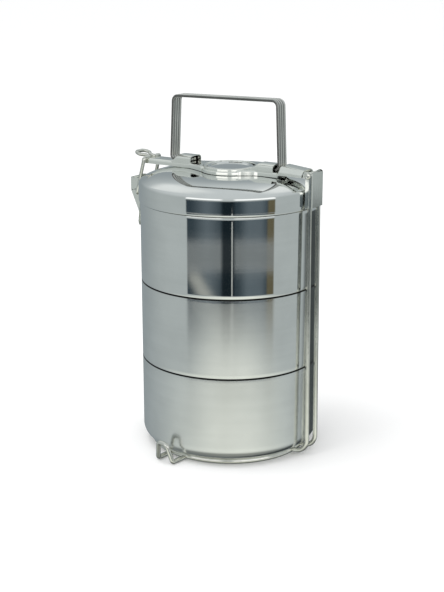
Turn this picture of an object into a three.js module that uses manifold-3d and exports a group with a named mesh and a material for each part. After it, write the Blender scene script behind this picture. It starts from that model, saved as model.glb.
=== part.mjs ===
// Three-tier tiffin carrier in stainless steel: three nesting bowls and a lid, standing on a wire
// base ring and clamped by a hinged top arm with a carrying handle and a bail latch.
// Millimetres, +Z up. The hinge is on the +X side, the latch on the -X side.

import * as THREE from 'three';
import { mergeVertices } from 'three/addons/utils/BufferGeometryUtils.js';
import Module from 'manifold-3d';

const wasm = await Module();
wasm.setup();

// ---- Driving dimensions ----------------------------------------------------------------------

const GAP = 0.3;                 // clearance between pieces that touch
const SHEET = 0.8;               // steel of the bowls and lid
const ROUND_SIDES = 40;          // facets round a bowl
const WIRE_SIDES = 8;            // facets round a wire

// Bowls and lid, all turned about the Z axis
const BOWL_RADIUS = 70;
const TIER_PITCH = 62.3;         // from one joint between bowls to the next
const FIRST_JOINT_Z = 71.7;      // joint between the bottom and middle bowls
const BOTTOM_CORNER = 9;         // radius of the bottom bowl's rounded foot
const NEST_RADIUS = 68.6;        // stepped base that sits inside the bowl below
const NEST_DEPTH = 5;
const NEST_CORNER = 3;
const LID_RADIUS = 71.2;
const LID_SHOULDER_Z = 209.2;    // where the lid's skirt starts to turn in
const LID_SHOULDER_CORNER = 3.5;
const LID_CROWN_Z = 218.4;       // flat middle of the lid's dome
const DOME_POWER = 5;            // how late the dome falls away to the shoulder
const BOSS_RADIUS = 17.8;        // raised button in the middle of the lid
const BOSS_TOP_Z = 223;

// Wire cradle
const RING_WIRE = 4.6;
const RING_RADIUS = 61;          // to the middle of the wire
const FRAME_WIRE = 3.6;
const BRANCH_Z = 3.2;            // height at which the uprights meet the ring
const BRANCH_START_X = 64;
const UPRIGHT_FOOT_X = 75.8;
const UPRIGHT_BEND = 10;
const HINGE_WIRE_Y = 6.6;
const HINGE_WIRE_TOP = { x: 73.9, z: 214 };
const LATCH_WIRE_Y = 5.6;
const LATCH_WIRE_TOP_X = 74.8;

// Guard feet: hooped wires at the front and rear of the ring, a little off square to the hinge
const FOOT_TURN = THREE.MathUtils.degToRad(8.4);
const FOOT = { half: 7.6, start: 64.2, corner: 76.5, z: 1.85, topHalf: 4.2, topReach: 79.4, topZ: 16.4 };

// Top arm
const ARM_TOP_Z = 221.4;
const ARM_SHEET = 1.2;
const ARM_DEPTH = 2.7;           // height of its turned-down edges
const ARM_HALF = 7;              // half width of the narrow part
const ARM_WIDE_HALF = 8.4;       // half width at the hinge
const FLANGE_RADIUS = 22.8;      // plate round the collar
const FLANGE_LATCH_X = -34;      // where the plate starts to widen towards it, from the latch side
const FLANGE_HINGE_X = 27;
// Raised hinge end of the arm; its top falls a little towards the hinge.
const CHANNEL = { startX: 48.2, topHalf: 5.6, lowZ: 220.9, bendZ: 223, topZ: 226.8, fall: 0.11 };
const ARM_TIP_X = -79;
const COLLAR_INNER = 19.3;       // raised collar round the lid's button
const COLLAR_OUTER = 21.3;
const COLLAR_TOP_Z = 223.4;

// Hinge
const HINGE = { x: 73.4, z: 222.8, pin: 2.6, lug: 2.3, plateGap: 5 };
const BRACKET = { outerX: 76.9, innerX: 71.6, half: 9.5, sheet: 0.8, bend: 2, corner: 4.5, lowZ: 198.7, highZ: 225.4 };

// Handle, a strap whose feet are turned in under a hood at each end
const HANDLE_WIDTH = 11.8;
const HANDLE_THICK = 2;
const HANDLE_LEFT = { foot: -52, top: -49.7, end: -36, topZ: 273.8 };
const HANDLE_RIGHT = { foot: 46.3, top: 44.2, end: 30, topZ: 275.4 };
const SEAT = { rise: 1.4, half: 5, length: 13, leftX: -49.2, rightX: 29.5 };  // pads under the feet
const HOOD = { half: 8.1, rise: 6.4, sheet: 0.8, squareness: 0.42 };
const HOOD_LEFT = { startX: -50, endX: -32.4 };
const HOOD_RIGHT = { startX: 22.8, endX: 42.6 };

// Latch
const LEVER_PIVOT = { x: -86.5, z: 202.2 };
const BAIL_PIVOT = { x: -82.5, z: 193.7 };
const LEVER_HALF = 8.65;
const LEVER_SHEET = 1;
const LEVER_OUT = 3;             // middle of the lever's web, outside its pivot
const BAIL_WIRE = 2.8;
const BAIL_HALF = 10.6;
const BAIL_SEAT_X = -74.6;       // where the bail crosses the arm
const BAIL_LOOP_X = -87;         // tip of its finger loop
const BAIL_NECK = { x: -78.6, half: 2.7 };
const BAIL_LOOP = { x: -81.5, half: 6.4, rise: 3.2 };

// The origin is under the middle of the whole object, which reaches further on the latch side.
const LATCH_REACH = LEVER_OUT + LEVER_SHEET / 2 - LEVER_PIVOT.x;
const ORIGIN_SHIFT_X = (LATCH_REACH - BRACKET.outerX) / 2;

// ---- Solid helpers ---------------------------------------------------------------------------

// Turns a closed geometry into a solid: vertices merged, slivers at poles dropped, faces outwards.
function solidOf(geometry) {
  const bare = geometry.clone();
  bare.deleteAttribute('normal');
  bare.deleteAttribute('uv');
  const merged = mergeVertices(bare, 1e-4);
  const place = merged.attributes.position.array;
  const source = merged.index.array;
  const faces = [];
  let volume = 0;
  for (let i = 0; i < source.length; i += 3) {
    const [a, b, c] = [source[i], source[i + 1], source[i + 2]];
    if (a === b || b === c || c === a) continue;
    faces.push(a, b, c);
    const [p, q, r] = [a, b, c].map((n) => new THREE.Vector3().fromArray(place, 3 * n));
    volume += p.dot(q.cross(r));
  }
  if (volume < 0) faces.reverse();
  const mesh = new wasm.Mesh({ numProp: 3, vertProperties: place, triVerts: new Uint32Array(faces) });
  return new wasm.Manifold(mesh);
}

// Gives a solid back as a plain geometry.
function geometryOf(solid) {
  const mesh = solid.getMesh();
  const geometry = new THREE.BufferGeometry();
  geometry.setAttribute('position', new THREE.BufferAttribute(new Float32Array(mesh.vertProperties), 3));
  geometry.setIndex(new THREE.BufferAttribute(new Uint32Array(mesh.triVerts), 1));
  geometry.computeVertexNormals();
  return geometry;
}

function union(...solids) {
  return solids.reduce((sum, piece) => sum.add(piece));
}

// Turns an [r, z] profile about the Z axis.
function turned(profile, sides = ROUND_SIDES) {
  const points = profile.map(([r, z]) => new THREE.Vector2(r, z));
  return solidOf(new THREE.LatheGeometry(points, sides).rotateX(Math.PI / 2));
}

// Points of an arc in a profile plane, angles in degrees from the first axis.
function arc(centreA, centreB, radius, fromDeg, toDeg, steps) {
  return Array.from({ length: steps + 1 }, (_, i) => {
    const angle = THREE.MathUtils.degToRad(fromDeg + ((toDeg - fromDeg) * i) / steps);
    return [centreA + radius * Math.cos(angle), centreB + radius * Math.sin(angle)];
  });
}

// Extrudes an outline drawn in X and Y upwards from lowZ to highZ.
function slab(outline, lowZ, highZ) {
  const shape = new THREE.Shape(outline.map(([x, y]) => new THREE.Vector2(x, y)));
  const geometry = new THREE.ExtrudeGeometry(shape, { depth: highZ - lowZ, bevelEnabled: false });
  return solidOf(geometry.translate(0, 0, lowZ));
}

// Extrudes an outline drawn in X and Z along Y, from lowY to highY.
function sidePlate(outline, lowY, highY) {
  const shape = new THREE.Shape(outline.map(([x, z]) => new THREE.Vector2(x, z)));
  const geometry = new THREE.ExtrudeGeometry(shape, { depth: highY - lowY, bevelEnabled: false });
  return solidOf(geometry.rotateX(Math.PI / 2).translate(0, highY, 0));
}

// Extrudes an outline drawn in Y and Z along X, from lowX to highX.
function crossPlate(outline, lowX, highX) {
  const shape = new THREE.Shape(outline.map(([y, z]) => new THREE.Vector2(y, z)));
  const geometry = new THREE.ExtrudeGeometry(shape, { depth: highX - lowX, bevelEnabled: false });
  return solidOf(geometry.rotateX(Math.PI / 2).rotateZ(Math.PI / 2).translate(lowX, 0, 0));
}

// A round bar along Y through (x, z).
function barAlongY(radius, lowY, highY, x, z, sides = 16) {
  const geometry = new THREE.CylinderGeometry(radius, radius, highY - lowY, sides);
  return solidOf(geometry.translate(x, (lowY + highY) / 2, z));
}

// Rounds each inner corner of a polyline to its radius. Corners are [x, y, z, radius].
function bent(corners, steps = 5) {
  const points = corners.map(([x, y, z]) => new THREE.Vector3(x, y, z));
  const path = [points[0]];
  for (let i = 1; i < points.length - 1; i += 1) {
    const towards = points[i - 1].clone().sub(points[i]).normalize();
    const away = points[i + 1].clone().sub(points[i]).normalize();
    const half = towards.angleTo(away) / 2;
    const radius = corners[i][3];
    const centre = towards.clone().add(away).normalize().multiplyScalar(radius / Math.sin(half)).add(points[i]);
    const start = towards.multiplyScalar(radius / Math.tan(half)).add(points[i]).sub(centre);
    const end = away.multiplyScalar(radius / Math.tan(half)).add(points[i]).sub(centre);
    const sweep = start.angleTo(end);
    const axis = start.clone().cross(end).normalize();
    for (let k = 0; k <= steps; k += 1) {
      path.push(start.clone().applyAxisAngle(axis, (sweep * k) / steps).add(centre));
    }
  }
  path.push(points[points.length - 1]);
  return path;
}

// A path through given points, one extrusion step to each.
class BentPath extends THREE.Curve {
  constructor(points) {
    super();
    this.points = points;
  }

  getSpacedPoints() {
    return this.points;
  }

  getTangentAt(u, target = new THREE.Vector3()) {
    const last = this.points.length - 1;
    const i = Math.round(u * last);
    const before = this.points[Math.max(i - 1, 0)];
    const after = this.points[Math.min(i + 1, last)];
    return target.copy(after).sub(before).normalize();
  }
}

// A regular polygon whose flats are at the given radius, one of them at the bottom.
function polygon(radius, sides) {
  const reach = radius / Math.cos(Math.PI / sides);
  return Array.from({ length: sides }, (_, i) => {
    const angle = ((i + 0.5) * 2 * Math.PI) / sides;
    return [reach * Math.cos(angle), reach * Math.sin(angle)];
  });
}

function wire(corners, diameter) {
  const path = new BentPath(bent(corners));
  const section = new THREE.Shape(polygon(diameter / 2, WIRE_SIDES).map(([x, y]) => new THREE.Vector2(x, y)));
  const geometry = new THREE.ExtrudeGeometry(section, { steps: path.points.length - 1, extrudePath: path });
  return solidOf(geometry);
}

// Outline of a sheet strip that follows a bent centre line in the X-Z plane.
function stripOutline(corners, thickness) {
  const path = new BentPath(bent(corners.map(([x, z, radius]) => [x, 0, z, radius])));
  const last = path.points.length - 1;
  const side = (sign) => path.points.map((point, i) => {
    const along = path.getTangentAt(i / last);
    return [point.x - (sign * along.z * thickness) / 2, point.z + (sign * along.x * thickness) / 2];
  });
  return [...side(1), ...side(-1).reverse()];
}

// ---- Bowls and lid ---------------------------------------------------------------------------

// Rounded rim of an open wall, outside to inside.
function rim(radius, topZ) {
  const inner = radius - SHEET;
  return [
    [radius, topZ - 0.6],
    [radius - 0.2, topZ - 0.15],
    [radius - SHEET / 2, topZ],
    [inner + 0.2, topZ - 0.15],
    [inner, topZ - 0.6],
  ];
}

function bottomBowl() {
  const baseZ = RING_WIRE + GAP;
  const flat = BOWL_RADIUS - BOTTOM_CORNER;
  const cornerZ = baseZ + BOTTOM_CORNER;
  return turned([
    [0, baseZ],
    ...arc(flat, cornerZ, BOTTOM_CORNER, -90, 0, 6),
    ...rim(BOWL_RADIUS, FIRST_JOINT_Z - GAP / 2),
    ...arc(flat, cornerZ, BOTTOM_CORNER - SHEET, 0, -90, 6),
    [0, baseZ + SHEET],
  ]);
}

// The stepped base shared by the upper bowls and, upside up, the lid's plug: outside, from the
// bottom corner up to the ledge that sits on the rim below.
function nestOutside(ledgeZ, wallRadius) {
  const plug = NEST_RADIUS;
  return [
    [plug, ledgeZ],
    [wallRadius - 1, ledgeZ],
    [wallRadius - 0.3, ledgeZ + 0.3],
    [wallRadius, ledgeZ + 1],
  ];
}

function nestInside(ledgeZ, wallRadius) {
  const plug = NEST_RADIUS - SHEET;
  return [
    [wallRadius - SHEET, ledgeZ + 1.4],
    [wallRadius - SHEET - 0.4, ledgeZ + 0.9],
    [plug, ledgeZ + 0.8],
  ];
}

function upperBowl(jointZ) {
  const ledgeZ = jointZ + GAP / 2;
  const baseZ = ledgeZ - NEST_DEPTH;
  const flat = NEST_RADIUS - NEST_CORNER;
  const cornerZ = baseZ + NEST_CORNER;
  return turned([
    [0, baseZ],
    ...arc(flat, cornerZ, NEST_CORNER, -90, 0, 3),
    ...nestOutside(ledgeZ, BOWL_RADIUS),
    ...rim(BOWL_RADIUS, jointZ + TIER_PITCH - GAP / 2),
    ...nestInside(ledgeZ, BOWL_RADIUS),
    ...arc(flat, cornerZ, NEST_CORNER - SHEET, 0, -90, 3),
    [0, baseZ + SHEET],
  ]);
}

// Height of the lid's outer face over its dome: flat in the middle, falling away to the shoulder.
function domeZ(radius, shoulderRadius, shoulderZ) {
  const share = Math.max(radius - BOSS_RADIUS, 0) / (shoulderRadius - BOSS_RADIUS);
  return LID_CROWN_Z - (LID_CROWN_Z - shoulderZ) * share ** DOME_POWER;
}

function lid() {
  const ledgeZ = FIRST_JOINT_Z + 2 * TIER_PITCH + GAP / 2;
  const plugZ = ledgeZ - NEST_DEPTH;
  const cornerX = LID_RADIUS - LID_SHOULDER_CORNER;
  const shoulder = (corner) => arc(cornerX, LID_SHOULDER_Z, corner, 0, 62, 4);
  const [turnRadius, turnZ] = shoulder(LID_SHOULDER_CORNER)[4];
  const domeRadii = [65, 60, 54, 46, 36, BOSS_RADIUS];
  const outside = domeRadii.map((radius) => [radius, domeZ(radius, turnRadius, turnZ)]);
  const inside = outside.map(([radius, z]) => [radius, z - SHEET]).reverse();
  const bossInner = BOSS_RADIUS - SHEET;
  inside[0][0] = bossInner;
  return turned([
    [NEST_RADIUS - SHEET, plugZ],
    [NEST_RADIUS, plugZ],
    ...nestOutside(ledgeZ, LID_RADIUS),
    ...shoulder(LID_SHOULDER_CORNER),
    ...outside,
    [BOSS_RADIUS, BOSS_TOP_Z - 1],
    [BOSS_RADIUS - 1, BOSS_TOP_Z],
    [BOSS_RADIUS - 2.4, BOSS_TOP_Z - 0.8],
    [0, BOSS_TOP_Z - 1.2],
    [0, BOSS_TOP_Z - 1.2 - SHEET],
    [bossInner, BOSS_TOP_Z - 1.2 - SHEET],
    ...inside,
    ...shoulder(LID_SHOULDER_CORNER - SHEET).reverse(),
    ...nestInside(ledgeZ, LID_RADIUS),
    [NEST_RADIUS - SHEET, plugZ],
  ]);
}

// ---- Wire cradle -----------------------------------------------------------------------------

function baseRing() {
  const section = polygon(RING_WIRE / 2, WIRE_SIDES).map(([a, b]) => [RING_RADIUS + a, RING_WIRE / 2 + b]);
  return turned([...section, section[0]]);
}

function guardFoot(turn) {
  const { half, start, corner, z, topHalf, topReach, topZ } = FOOT;
  const path = [
    [-half, -start, z],
    [-half, -corner, z, 2.2],
    [-topHalf, -topReach, topZ, 3.2],
    [topHalf, -topReach, topZ, 3.2],
    [half, -corner, z, 2.2],
    [half, -start, z],
  ];
  return wire(path, FRAME_WIRE).rotate([0, 0, THREE.MathUtils.radToDeg(turn)]);
}

function hingeWire(y) {
  const path = [
    [BRANCH_START_X, y, BRANCH_Z],
    [UPRIGHT_FOOT_X, y, BRANCH_Z, UPRIGHT_BEND],
    [HINGE_WIRE_TOP.x, y, HINGE_WIRE_TOP.z],
  ];
  return wire(path, FRAME_WIRE);
}

// One wire up both sides of the latch, its top turned out as the axle that the lever swings on.
function latchWire() {
  const half = (y) => [
    [-BRANCH_START_X, y, BRANCH_Z],
    [-UPRIGHT_FOOT_X, y, BRANCH_Z, UPRIGHT_BEND],
    [-LATCH_WIRE_TOP_X, y, LEVER_PIVOT.z, 5],
    [LEVER_PIVOT.x, y, LEVER_PIVOT.z, 2.4],
  ];
  return wire([...half(-LATCH_WIRE_Y), ...half(LATCH_WIRE_Y).reverse()], FRAME_WIRE);
}

// ---- Hinge bracket and pin -------------------------------------------------------------------

function hingeBracket() {
  const { outerX, innerX, half, sheet, bend, corner, lowZ, highZ } = BRACKET;
  const section = [
    [innerX, -half],
    ...arc(outerX - bend, bend - half, bend, -90, 0, 3),
    ...arc(outerX - bend, half - bend, bend, 0, 90, 3),
    [innerX, half],
    [innerX, half - sheet],
    ...arc(outerX - bend, half - bend, bend - sheet, 90, 0, 3),
    ...arc(outerX - bend, bend - half, bend - sheet, 0, -90, 3),
    [innerX, sheet - half],
  ];
  const channel = slab(section, lowZ, highZ);
  const cheekTop = sidePlate([
    [innerX - 1, HINGE.z + 1.6],
    [HINGE.x - 1, highZ - 0.4],
    [HINGE.x - 1, highZ + 1],
    [innerX - 1, highZ + 1],
  ], -half - 1, half + 1);
  const cornerCut = (side) => crossPlate([
    ...arc(side * (half - corner), highZ - corner, corner, side > 0 ? 0 : 180, 90, 4),
    [side * (half - corner), highZ + 1],
    [side * (half + 1), highZ + 1],
    [side * (half + 1), highZ - corner],
  ], outerX - bend, outerX + 1);
  const pinHole = barAlongY(HINGE.pin / 2 + GAP, -half - 1, half + 1, HINGE.x, HINGE.z);
  return channel.subtract(cheekTop).subtract(cornerCut(-1)).subtract(cornerCut(1)).subtract(pinHole);
}

function hingePin() {
  const headStart = BRACKET.half + GAP;
  const shank = barAlongY(HINGE.pin / 2, -headStart - 0.4, headStart + 0.4, HINGE.x, HINGE.z);
  const head = (low, high) => barAlongY(HINGE.pin, low, high, HINGE.x, HINGE.z);
  return union(shank, head(-headStart - 0.8, -headStart), head(headStart, headStart + 0.8));
}

// ---- Top arm ---------------------------------------------------------------------------------

// Plan outline of the arm up to its raised channel, drawn inwards by an inset.
function armOutline(inset, endX) {
  const half = ARM_HALF - inset;
  const ring = FLANGE_RADIUS - inset;
  const tip = ARM_TIP_X + inset;
  const edge = new THREE.Path();
  edge.moveTo(tip + 1.5, -half);
  edge.lineTo(FLANGE_LATCH_X, -half);
  edge.quadraticCurveTo(-1.12 * ring, -half, -0.77 * ring, -0.64 * ring);
  edge.absarc(0, 0, ring, Math.PI * 1.22, Math.PI * 1.76, false);
  edge.quadraticCurveTo(ring, -half, FLANGE_HINGE_X, -half);
  edge.lineTo(endX, -half);
  const front = edge.getPoints(6).map((point) => [point.x, point.y]);
  const rear = front.map(([x, y]) => [x, -y]).reverse();
  return [...front, ...rear, [tip, half - 1.5], [tip, 1.5 - half]];
}

// Section of the raised channel in Y and Z, drawn inwards by an inset.
function channelOutline(inset) {
  const { topHalf, lowZ, bendZ, topZ } = CHANNEL;
  const side = (sign) => [
    [sign * (ARM_WIDE_HALF - inset), lowZ - inset],
    [sign * (ARM_WIDE_HALF - inset), bendZ - inset / 2],
    [sign * (topHalf - inset / 2), topZ - inset],
  ];
  return [...side(1), ...side(-1).reverse()];
}

// Lets the channel's top fall towards the hinge, while its lower edges stay level.
function sloped(channel) {
  const { startX, lowZ, topZ, fall } = CHANNEL;
  return channel.warp((point) => {
    const along = Math.max(point[0] - startX, 0);
    const share = Math.max(point[2] - lowZ, 0) / (topZ - lowZ);
    point[2] -= fall * along * share;
  });
}

function topArm() {
  const lowZ = ARM_TOP_Z - ARM_DEPTH;
  const plateEnd = HINGE.x - HINGE.plateGap;
  const { startX, lowZ: channelLowZ } = CHANNEL;
  const strip = slab(armOutline(0, startX + ARM_SHEET), lowZ, ARM_TOP_Z)
    .subtract(slab(armOutline(ARM_SHEET, startX + ARM_SHEET + 1), lowZ - 1, ARM_TOP_Z - ARM_SHEET));
  const channel = sloped(crossPlate(channelOutline(0), startX, plateEnd))
    .subtract(sloped(crossPlate(channelOutline(ARM_SHEET), startX + ARM_SHEET, plateEnd + 1)));
  const collar = slab(arc(0, 0, COLLAR_OUTER, 0, 354, 59), lowZ, COLLAR_TOP_Z);
  const hole = slab(arc(0, 0, COLLAR_INNER, 0, 354, 59), lowZ - 1, COLLAR_TOP_Z + 1);
  const seats = [SEAT.leftX, SEAT.rightX].map((x) => slab([
    [x, -SEAT.half],
    [x + SEAT.length, -SEAT.half],
    [x + SEAT.length, SEAT.half],
    [x, SEAT.half],
  ], ARM_TOP_Z - ARM_SHEET, ARM_TOP_Z + SEAT.rise));
  const lugShape = [
    [plateEnd - 4, channelLowZ],
    ...arc(HINGE.x, HINGE.z, HINGE.lug, -90, 135, 10),
    [plateEnd, HINGE.z + 0.7],
    [plateEnd - 4, HINGE.z - 0.4],
  ];
  const lugs = [-1, 1].map((side) => {
    const edges = [side * ARM_WIDE_HALF, side * (ARM_WIDE_HALF - ARM_SHEET)].sort((a, b) => a - b);
    return sidePlate(lugShape, edges[0], edges[1]);
  });
  const pinHole = barAlongY(HINGE.pin / 2 + GAP, -ARM_WIDE_HALF - 1, ARM_WIDE_HALF + 1, HINGE.x, HINGE.z);
  return union(strip, channel, collar, ...seats, ...lugs).subtract(hole).subtract(pinHole);
}

// ---- Handle ----------------------------------------------------------------------------------

function carryingHandle() {
  const footZ = ARM_TOP_Z + SEAT.rise + GAP + HANDLE_THICK / 2;
  const outline = stripOutline([
    [HANDLE_LEFT.end, footZ],
    [HANDLE_LEFT.foot, footZ, 3],
    [HANDLE_LEFT.top, HANDLE_LEFT.topZ, 4.5],
    [HANDLE_RIGHT.top, HANDLE_RIGHT.topZ, 4.5],
    [HANDLE_RIGHT.foot, footZ, 3],
    [HANDLE_RIGHT.end, footZ],
  ], HANDLE_THICK);
  return sidePlate(outline, -HANDLE_WIDTH / 2, HANDLE_WIDTH / 2);
}

// An arched hood over one foot of the handle, standing on the arm.
function handleHood({ startX, endX }) {
  const { half, rise, sheet, squareness } = HOOD;
  const baseZ = ARM_TOP_Z + GAP;
  const arch = (inset) => arc(0, 0, 1, 0, 180, 12).map(([c, s]) => [
    (half - inset) * c,
    baseZ + (rise - inset) * Math.abs(s) ** squareness,
  ]);
  return crossPlate([...arch(0), ...arch(sheet).reverse()], startX, endX);
}

// ---- Latch -----------------------------------------------------------------------------------

// Sheet lever: a knuckle rolled round the latch wire, a sloping web, two cheeks and a finger tab.
function latchLever() {
  const { x, z } = LEVER_PIVOT;
  const web = stripOutline([
    [x - LEVER_OUT, z + 4],
    [x - LEVER_OUT, z - 6.5, 3],
    [x + 4.7, z - 23.8, 8],
    [x + 2.9, z - 35],
  ], LEVER_SHEET);
  const cheek = [
    [x - LEVER_OUT - 0.3, z + 4],
    [x - LEVER_OUT - 0.4, z - 6.5],
    [x + 4.1, z - 22.5],
    [x + 6.6, z - 14],
    [x + 7, z - 4],
    [x + 7, z + 2.5],
    [x + 5.5, z + 4],
  ];
  const eyeHole = barAlongY(BAIL_WIRE / 2 + GAP, -LEVER_HALF - 1, LEVER_HALF + 1, BAIL_PIVOT.x, BAIL_PIVOT.z);
  const axleRoom = FRAME_WIRE / 2 + GAP;
  const knuckle = barAlongY(axleRoom + 1.2, -2.8, 2.8, x, z)
    .subtract(barAlongY(axleRoom, -3, 3, x, z));
  return union(
    sidePlate(web, -LEVER_HALF, LEVER_HALF),
    sidePlate(cheek, -LEVER_HALF, 0.9 - LEVER_HALF),
    sidePlate(cheek, LEVER_HALF - 0.9, LEVER_HALF),
    knuckle,
  ).subtract(eyeHole);
}

// Wire bail: its ends spring into the lever's cheeks, and its top crosses the arm with a finger loop.
function latchBail() {
  const seatZ = ARM_TOP_Z + GAP + BAIL_WIRE / 2 + 0.05;
  const loopZ = seatZ + BAIL_LOOP.rise;
  const half = (side) => [
    [BAIL_PIVOT.x, side * (LEVER_HALF - 2), BAIL_PIVOT.z],
    [BAIL_PIVOT.x, side * BAIL_HALF, BAIL_PIVOT.z, 1.8],
    [BAIL_SEAT_X, side * BAIL_HALF, seatZ, 2.2],
    [BAIL_SEAT_X, side * BAIL_NECK.half, seatZ, 1.9],
    [BAIL_NECK.x, side * BAIL_NECK.half, seatZ + 0.32 * BAIL_LOOP.rise, 1.8],
    [BAIL_LOOP.x, side * BAIL_LOOP.half, seatZ + 0.56 * BAIL_LOOP.rise, 2.4],
    [BAIL_LOOP_X, side * BAIL_LOOP.half, loopZ, 4.2],
  ];
  return wire([...half(-1), ...half(1).reverse()], BAIL_WIRE);
}

// ---- Assembly --------------------------------------------------------------------------------

const polishedSteel = () => new THREE.MeshStandardMaterial({ color: 0xc9cdcc, roughness: 0.18, metalness: 1 });
const wireSteel = () => new THREE.MeshStandardMaterial({ color: 0xb9bbb4, roughness: 0.3, metalness: 1 });
const strapSteel = () => new THREE.MeshStandardMaterial({ color: 0x9a9c9a, roughness: 0.35, metalness: 1 });

const pieces = [
  ['base_ring', baseRing(), wireSteel],
  ['front_foot', guardFoot(FOOT_TURN), wireSteel],
  ['rear_foot', guardFoot(FOOT_TURN + Math.PI), wireSteel],
  ['hinge_wire_front', hingeWire(-HINGE_WIRE_Y), wireSteel],
  ['hinge_wire_rear', hingeWire(HINGE_WIRE_Y), wireSteel],
  ['latch_wire', latchWire(), wireSteel],
  ['hinge_bracket', hingeBracket(), polishedSteel],
  ['hinge_pin', hingePin(), wireSteel],
  ['bottom_bowl', bottomBowl(), polishedSteel],
  ['middle_bowl', upperBowl(FIRST_JOINT_Z), polishedSteel],
  ['top_bowl', upperBowl(FIRST_JOINT_Z + TIER_PITCH), polishedSteel],
  ['lid', lid(), polishedSteel],
  ['top_arm', topArm(), polishedSteel],
  ['left_handle_hood', handleHood(HOOD_LEFT), polishedSteel],
  ['right_handle_hood', handleHood(HOOD_RIGHT), polishedSteel],
  ['carrying_handle', carryingHandle(), strapSteel],
  ['latch_lever', latchLever(), polishedSteel],
  ['latch_bail', latchBail(), wireSteel],
];

const carrier = new THREE.Group();
for (const [name, solid, material] of pieces) {
  const mesh = new THREE.Mesh(geometryOf(solid), material());
  mesh.name = name;
  mesh.position.x = ORIGIN_SHIFT_X;
  carrier.add(mesh);
}

export default carrier;
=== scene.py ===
"""Three-tier stainless tiffin carrier: the visible pieces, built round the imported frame.

Shapes are worked out in millimetres with the bowls' axis at x = 0 and the ground at z = 0, and are
moved to the frame's own origin, in metres, when they become a mesh.
"""

import math

import bmesh
import bpy
import numpy as np
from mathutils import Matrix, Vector


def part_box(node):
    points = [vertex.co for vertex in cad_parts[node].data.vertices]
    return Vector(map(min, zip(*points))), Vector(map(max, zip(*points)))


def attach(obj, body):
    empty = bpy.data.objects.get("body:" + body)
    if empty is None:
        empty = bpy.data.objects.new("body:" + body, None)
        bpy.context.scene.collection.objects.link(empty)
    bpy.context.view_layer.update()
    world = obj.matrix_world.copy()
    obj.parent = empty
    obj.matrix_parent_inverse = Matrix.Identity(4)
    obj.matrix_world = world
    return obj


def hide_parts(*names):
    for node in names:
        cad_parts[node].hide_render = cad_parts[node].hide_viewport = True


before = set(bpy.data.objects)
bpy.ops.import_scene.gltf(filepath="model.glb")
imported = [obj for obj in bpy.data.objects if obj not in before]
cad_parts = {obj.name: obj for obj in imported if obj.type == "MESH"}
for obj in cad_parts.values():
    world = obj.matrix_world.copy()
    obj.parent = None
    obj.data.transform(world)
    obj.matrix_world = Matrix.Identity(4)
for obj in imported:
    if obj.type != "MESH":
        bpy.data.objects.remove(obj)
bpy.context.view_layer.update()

MM = 0.001
AXIS_X = sum(corner.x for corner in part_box("base_ring")) / 2


def span(node):
    """Low and high corners of a CAD node, in millimetres from the bowls' axis on the ground."""
    low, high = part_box(node)
    shift = np.array([AXIS_X, 0, 0])
    return (np.array(low) - shift) / MM, (np.array(high) - shift) / MM


# ---- Driving dimensions, millimetres ---------------------------------------------------------

GAP = 0.3
SHEET = 0.8
ROUND = 240                       # steps round a bowl
BOWL_LOW, BOWL_HIGH = span("bottom_bowl")
BOWL_RADIUS = (BOWL_HIGH[1] - BOWL_LOW[1]) / 2
BASE_Z = BOWL_LOW[2]
BASE_CORNER = 9
NEST_RADIUS = BOWL_RADIUS - 1.4
NEST_DEPTH = 5
NEST_CORNER = 3
RIM_ROUND = 0.38
JOINTS_Z = (BOWL_HIGH[2], span("middle_bowl")[1][2])
JOINT_SHADE_BELOW, JOINT_SHADE_ABOVE, JOINT_SHADE_SOFT = 0.55, 0.35, 0.2     # painted shade: the dark line in the gap at each joint

LID_LOW, LID_HIGH = span("lid")
LID_RADIUS = (LID_HIGH[1] - LID_LOW[1]) / 2
LEDGE_Z = LID_LOW[2] + NEST_DEPTH
SHOULDER_Z = LEDGE_Z + 12.75
SHOULDER_CORNER = 3.5
SHOULDER_TURN = math.radians(62)
BOSS_TOP_Z = LID_HIGH[2]
CROWN_Z = BOSS_TOP_Z - 4.6
BOSS_RADIUS = 17.8
DOME_POWER = 5

RING_HIGH = span("base_ring")[1]
RING_WIRE = RING_HIGH[2]
RING_RADIUS = RING_HIGH[1] - RING_WIRE / 2
FRAME_WIRE = 3.6
BRANCH_Z = 3.2
BRANCH_START = 64
UPRIGHT_FOOT = 75.8
UPRIGHT_BEND = 10
HINGE_WIRE_Y = 6.6
HINGE_WIRE_TOP = (73.9, 214)      # x and z
LATCH_WIRE_Y = 5.6
LATCH_WIRE_TOP = -74.8

FOOT_TURN = math.radians(8.4)
FOOT_HALF, FOOT_TOP_HALF = 7.6, 4.2
FOOT_START, FOOT_CORNER, FOOT_REACH = 64.2, 76.5, 79.4
FOOT_Z, FOOT_TOP_Z = 1.85, 16.4

ARM_TIP = span("top_arm")[0][0]
ARM_TOP_Z = 221.4                 # top of the flange, and underside of the strip's sheet
ARM_LOW_Z = 218.7
ARM_SHEET = 1.2
ARM_HALF = 7                      # half width inside the strip's sheet
CHANNEL_START = 48.2
CHANNEL_HALF, CHANNEL_TOP_HALF = 8.4, 5.6   # inside the channel's sheet
CHANNEL_LOW_Z, CHANNEL_BEND_Z, CHANNEL_TOP_Z = 220.9, 223, 226.8
CHANNEL_FALL = 0.11               # how fast the channel's top falls towards the hinge
FLANGE_RADIUS = 22.8
FLANGE_HALF = 14.6                # half width at which the flange takes over from the strip
FLANGE_LATCH = (34, 25.5, 17.5)   # x where the strip widens, of the curve's middle, of its end
FLANGE_HINGE = (27, 22.8, 17.5)
STRIP_END = 46.6                  # the strip runs on a little under the raised part
RAMP_START, RAMP_LENGTH = 45, 4.6
COLLAR_INNER, COLLAR_OUTER, COLLAR_TOP_Z = 19.3, 21.3, 223.4

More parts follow.
